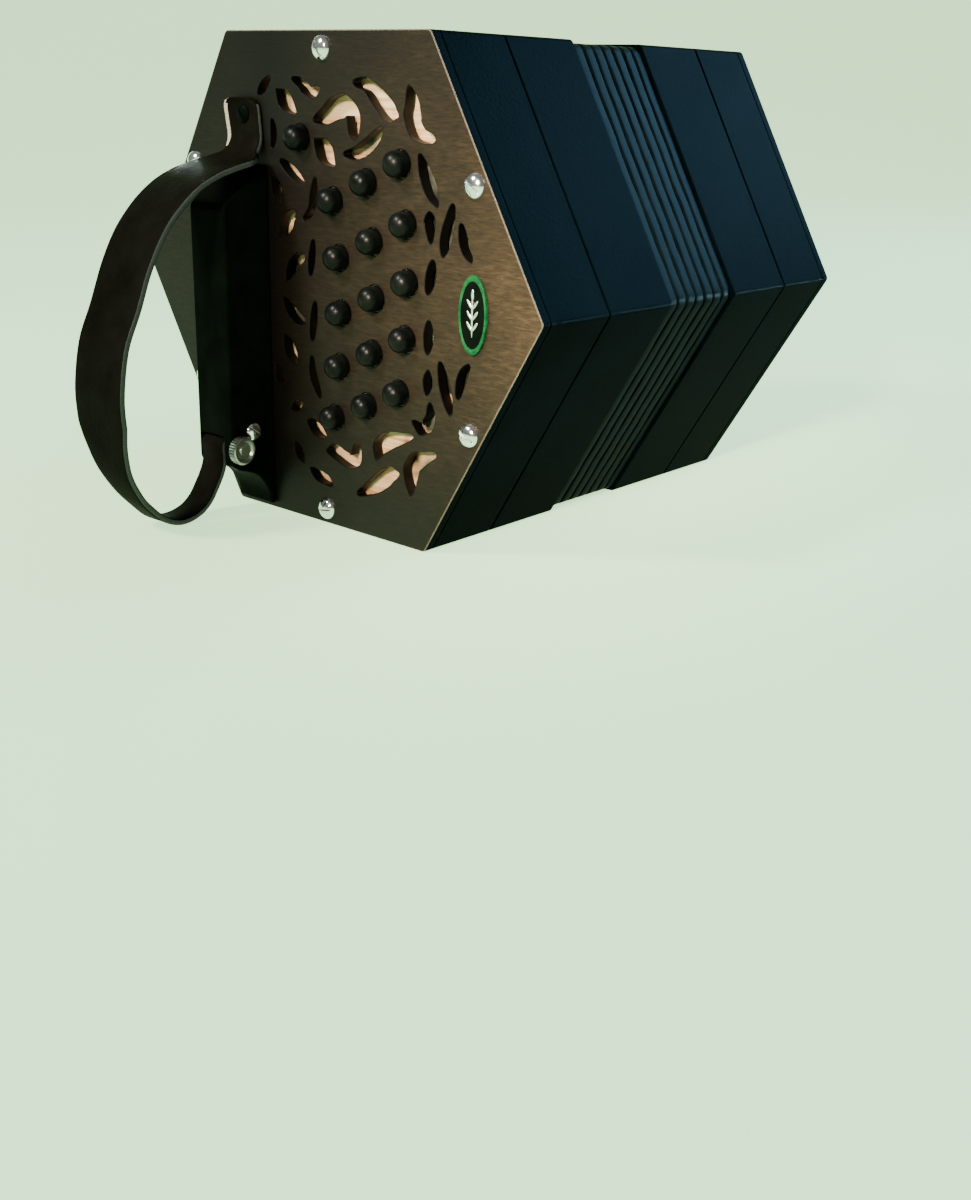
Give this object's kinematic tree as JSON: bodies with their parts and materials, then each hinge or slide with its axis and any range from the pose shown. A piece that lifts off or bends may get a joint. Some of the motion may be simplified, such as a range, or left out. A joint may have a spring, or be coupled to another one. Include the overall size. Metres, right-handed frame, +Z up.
{
  "type": "hexagonal concertina",
  "caption": "Hexagonal bellows instrument with pierced wooden end plates, domed press buttons, hand rails, leather hand straps and a folded leather bellows that draws open.",
  "frame": {"origin": "on the surface it stands on, under the centre of the bellows when closed", "axes": "+X along the bellows from the player's right-hand end to the left-hand end; +Z up; the hand rails are on the +Y side and the buttons on the -Y side"},
  "size_m": [0.3168, 0.19, 0.165],
  "materials": {
    "walnut": "satin lacquered walnut",
    "black_wood": "satin black covering over wood",
    "gloss_black_wood": "gloss black lacquer",
    "pale_wood": "bare pale wood",
    "bellows_leather": "fine-grained black leather over card",
    "strap_leather": "black leather with pale raw edges",
    "button_plastic": "polished black",
    "chrome": "bright plating",
    "brass": "plain brass",
    "grey_felt": "felt with a leather face",
    "green_enamel": "green enamel with a dark field"
  },
  "bodies": {
    "right_end": {"right_end_plate": "walnut", "right_baffle": "pale_wood", "right_action_box": "black_wood", "right_action_board": "pale_wood", "right_reed_pan": "pale_wood", "right_bellows_frame": "black_wood", "right_hand_rail": "gloss_black_wood", "right_hand_strap": "strap_leather", "right_badge": "green_enamel", "right_air_post": "brass"},
    "right_thumbscrew": {"right_strap_thumbscrew": "chrome"},
    "left_end": {"left_end_plate": "walnut", "left_baffle": "pale_wood", "left_action_box": "black_wood", "left_action_board": "pale_wood", "left_reed_pan": "pale_wood", "left_bellows_frame": "black_wood", "left_hand_rail": "gloss_black_wood", "left_hand_strap": "strap_leather"},
    "left_thumbscrew": {"left_strap_thumbscrew": "chrome"},
    "fold_1": {"bellows_fold_1": "bellows_leather"},
    "fold_2": {"bellows_fold_2": "bellows_leather"},
    "fold_3": {"bellows_fold_3": "bellows_leather"},
    "fold_4": {"bellows_fold_4": "bellows_leather"},
    "fold_5": {"bellows_fold_5": "bellows_leather"},
    "fold_6": {"bellows_fold_6": "bellows_leather"},
    "fold_7": {"bellows_fold_7": "bellows_leather"},
    "right_button_1": {"right_button_1": "button_plastic"},
    "right_button_2": {"right_button_2": "button_plastic"},
    "right_button_3": {"right_button_3": "button_plastic"},
    "right_button_4": {"right_button_4": "button_plastic"},
    "right_button_5": {"right_button_5": "button_plastic"},
    "right_button_6": {"right_button_6": "button_plastic"},
    "right_button_7": {"right_button_7": "button_plastic"},
    "right_button_8": {"right_button_8": "button_plastic"},
    "right_button_9": {"right_button_9": "button_plastic"},
    "right_button_10": {"right_button_10": "button_plastic"},
    "right_button_11": {"right_button_11": "button_plastic"},
    "right_button_12": {"right_button_12": "button_plastic"},
    "right_button_13": {"right_button_13": "button_plastic"},
    "right_button_14": {"right_button_14": "button_plastic"},
    "right_button_15": {"right_button_15": "button_plastic"},
    "left_button_1": {"left_button_1": "button_plastic"},
    "left_button_2": {"left_button_2": "button_plastic"},
    "left_button_3": {"left_button_3": "button_plastic"},
    "left_button_4": {"left_button_4": "button_plastic"},
    "left_button_5": {"left_button_5": "button_plastic"},
    "left_button_6": {"left_button_6": "button_plastic"},
    "left_button_7": {"left_button_7": "button_plastic"},
    "left_button_8": {"left_button_8": "button_plastic"},
    "left_button_9": {"left_button_9": "button_plastic"},
    "left_button_10": {"left_button_10": "button_plastic"},
    "left_button_11": {"left_button_11": "button_plastic"},
    "left_button_12": {"left_button_12": "button_plastic"},
    "left_button_13": {"left_button_13": "button_plastic"},
    "left_button_14": {"left_button_14": "button_plastic"},
    "left_button_15": {"left_button_15": "button_plastic"},
    "right_air_button": {"right_air_button": "button_plastic"},
    "air_lever": {"right_air_lever": "brass", "right_air_pad": "grey_felt"}
  },
  "joints": [
    {"name": "bellows_draw", "type": "slide", "parent": "fold_7", "child": "left_end", "axis": [1, 0, 0], "range_m": [0, 0.024]},
    {"name": "fold_1_slide", "type": "slide", "parent": "right_end", "child": "fold_1", "axis": [1, 0, 0], "range_m": [0, 0.024]},
    {"name": "fold_2_slide", "type": "slide", "parent": "fold_1", "child": "fold_2", "axis": [1, 0, 0], "range_m": [0, 0.024]},
    {"name": "fold_3_slide", "type": "slide", "parent": "fold_2", "child": "fold_3", "axis": [1, 0, 0], "range_m": [0, 0.024]},
    {"name": "fold_4_slide", "type": "slide", "parent": "fold_3", "child": "fold_4", "axis": [1, 0, 0], "range_m": [0, 0.024]},
    {"name": "fold_5_slide", "type": "slide", "parent": "fold_4", "child": "fold_5", "axis": [1, 0, 0], "range_m": [0, 0.024]},
    {"name": "fold_6_slide", "type": "slide", "parent": "fold_5", "child": "fold_6", "axis": [1, 0, 0], "range_m": [0, 0.024]},
    {"name": "fold_7_slide", "type": "slide", "parent": "fold_6", "child": "fold_7", "axis": [1, 0, 0], "range_m": [0, 0.024]},
    {"name": "right_air_button_press", "type": "slide", "parent": "right_end", "child": "right_air_button", "axis": [1, 0, 0], "range_m": [0, 0.003], "stiffness_N_per_m": 100, "springref_m": -0.004},
    {"name": "air_lever_rock", "type": "hinge", "parent": "right_end", "child": "air_lever", "pos_m": [-0.0745, 0.022, 0.1317], "axis": [0, 0, 1], "range_deg": [0, 16]},
    {"name": "right_thumbscrew_turn", "type": "hinge", "parent": "right_end", "child": "right_thumbscrew", "pos_m": [-0.107, 0.0367, 0.025], "axis": [0, -1, 0], "continuous": true},
    {"name": "left_thumbscrew_turn", "type": "hinge", "parent": "left_end", "child": "left_thumbscrew", "pos_m": [0.107, 0.0367, 0.025], "axis": [0, -1, 0], "continuous": true},
    {"name": "right_button_1_press", "type": "slide", "parent": "right_end", "child": "right_button_1", "axis": [1, 0, 0], "range_m": [0, 0.003], "stiffness_N_per_m": 100, "springref_m": -0.004},
    {"name": "right_button_2_press", "type": "slide", "parent": "right_end", "child": "right_button_2", "axis": [1, 0, 0], "range_m": [0, 0.003], "stiffness_N_per_m": 100, "springref_m": -0.004},
    {"name": "right_button_3_press", "type": "slide", "parent": "right_end", "child": "right_button_3", "axis": [1, 0, 0], "range_m": [0, 0.003], "stiffness_N_per_m": 100, "springref_m": -0.004},
    {"name": "right_button_4_press", "type": "slide", "parent": "right_end", "child": "right_button_4", "axis": [1, 0, 0], "range_m": [0, 0.003], "stiffness_N_per_m": 100, "springref_m": -0.004},
    {"name": "right_button_5_press", "type": "slide", "parent": "right_end", "child": "right_button_5", "axis": [1, 0, 0], "range_m": [0, 0.003], "stiffness_N_per_m": 100, "springref_m": -0.004},
    {"name": "right_button_6_press", "type": "slide", "parent": "right_end", "child": "right_button_6", "axis": [1, 0, 0], "range_m": [0, 0.003], "stiffness_N_per_m": 100, "springref_m": -0.004},
    {"name": "right_button_7_press", "type": "slide", "parent": "right_end", "child": "right_button_7", "axis": [1, 0, 0], "range_m": [0, 0.003], "stiffness_N_per_m": 100, "springref_m": -0.004},
    {"name": "right_button_8_press", "type": "slide", "parent": "right_end", "child": "right_button_8", "axis": [1, 0, 0], "range_m": [0, 0.003], "stiffness_N_per_m": 100, "springref_m": -0.004},
    {"name": "right_button_9_press", "type": "slide", "parent": "right_end", "child": "right_button_9", "axis": [1, 0, 0], "range_m": [0, 0.003], "stiffness_N_per_m": 100, "springref_m": -0.004},
    {"name": "right_button_10_press", "type": "slide", "parent": "right_end", "child": "right_button_10", "axis": [1, 0, 0], "range_m": [0, 0.003], "stiffness_N_per_m": 100, "springref_m": -0.004},
    {"name": "right_button_11_press", "type": "slide", "parent": "right_end", "child": "right_button_11", "axis": [1, 0, 0], "range_m": [0, 0.003], "stiffness_N_per_m": 100, "springref_m": -0.004},
    {"name": "right_button_12_press", "type": "slide", "parent": "right_end", "child": "right_button_12", "axis": [1, 0, 0], "range_m": [0, 0.003], "stiffness_N_per_m": 100, "springref_m": -0.004},
    {"name": "right_button_13_press", "type": "slide", "parent": "right_end", "child": "right_button_13", "axis": [1, 0, 0], "range_m": [0, 0.003], "stiffness_N_per_m": 100, "springref_m": -0.004},
    {"name": "right_button_14_press", "type": "slide", "parent": "right_end", "child": "right_button_14", "axis": [1, 0, 0], "range_m": [0, 0.003], "stiffness_N_per_m": 100, "springref_m": -0.004},
    {"name": "right_button_15_press", "type": "slide", "parent": "right_end", "child": "right_button_15", "axis": [1, 0, 0], "range_m": [0, 0.003], "stiffness_N_per_m": 100, "springref_m": -0.004},
    {"name": "left_button_1_press", "type": "slide", "parent": "left_end", "child": "left_button_1", "axis": [-1, 0, 0], "range_m": [0, 0.003], "stiffness_N_per_m": 100, "springref_m": -0.004},
    {"name": "left_button_2_press", "type": "slide", "parent": "left_end", "child": "left_button_2", "axis": [-1, 0, 0], "range_m": [0, 0.003], "stiffness_N_per_m": 100, "springref_m": -0.004},
    {"name": "left_button_3_press", "type": "slide", "parent": "left_end", "child": "left_button_3", "axis": [-1, 0, 0], "range_m": [0, 0.003], "stiffness_N_per_m": 100, "springref_m": -0.004},
    {"name": "left_button_4_press", "type": "slide", "parent": "left_end", "child": "left_button_4", "axis": [-1, 0, 0], "range_m": [0, 0.003], "stiffness_N_per_m": 100, "springref_m": -0.004},
    {"name": "left_button_5_press", "type": "slide", "parent": "left_end", "child": "left_button_5", "axis": [-1, 0, 0], "range_m": [0, 0.003], "stiffness_N_per_m": 100, "springref_m": -0.004},
    {"name": "left_button_6_press", "type": "slide", "parent": "left_end", "child": "left_button_6", "axis": [-1, 0, 0], "range_m": [0, 0.003], "stiffness_N_per_m": 100, "springref_m": -0.004},
    {"name": "left_button_7_press", "type": "slide", "parent": "left_end", "child": "left_button_7", "axis": [-1, 0, 0], "range_m": [0, 0.003], "stiffness_N_per_m": 100, "springref_m": -0.004},
    {"name": "left_button_8_press", "type": "slide", "parent": "left_end", "child": "left_button_8", "axis": [-1, 0, 0], "range_m": [0, 0.003], "stiffness_N_per_m": 100, "springref_m": -0.004},
    {"name": "left_button_9_press", "type": "slide", "parent": "left_end", "child": "left_button_9", "axis": [-1, 0, 0], "range_m": [0, 0.003], "stiffness_N_per_m": 100, "springref_m": -0.004},
    {"name": "left_button_10_press", "type": "slide", "parent": "left_end", "child": "left_button_10", "axis": [-1, 0, 0], "range_m": [0, 0.003], "stiffness_N_per_m": 100, "springref_m": -0.004},
    {"name": "left_button_11_press", "type": "slide", "parent": "left_end", "child": "left_button_11", "axis": [-1, 0, 0], "range_m": [0, 0.003], "stiffness_N_per_m": 100, "springref_m": -0.004},
    {"name": "left_button_12_press", "type": "slide", "parent": "left_end", "child": "left_button_12", "axis": [-1, 0, 0], "range_m": [0, 0.003], "stiffness_N_per_m": 100, "springref_m": -0.004},
    {"name": "left_button_13_press", "type": "slide", "parent": "left_end", "child": "left_button_13", "axis": [-1, 0, 0], "range_m": [0, 0.003], "stiffness_N_per_m": 100, "springref_m": -0.004},
    {"name": "left_button_14_press", "type": "slide", "parent": "left_end", "child": "left_button_14", "axis": [-1, 0, 0], "range_m": [0, 0.003], "stiffness_N_per_m": 100, "springref_m": -0.004},
    {"name": "left_button_15_press", "type": "slide", "parent": "left_end", "child": "left_button_15", "axis": [-1, 0, 0], "range_m": [0, 0.003], "stiffness_N_per_m": 100, "springref_m": -0.004}
  ],
  "couplings": [
    {"joint": "fold_1_slide", "follows": "bellows_draw", "ratio": 1},
    {"joint": "fold_2_slide", "follows": "bellows_draw", "ratio": 1},
    {"joint": "fold_3_slide", "follows": "bellows_draw", "ratio": 1},
    {"joint": "fold_4_slide", "follows": "bellows_draw", "ratio": 1},
    {"joint": "fold_5_slide", "follows": "bellows_draw", "ratio": 1},
    {"joint": "fold_6_slide", "follows": "bellows_draw", "ratio": 1},
    {"joint": "fold_7_slide", "follows": "bellows_draw", "ratio": 1},
    {"joint": "air_lever_rock", "follows": "right_air_button_press", "rad_per_m": 93}
  ]
}
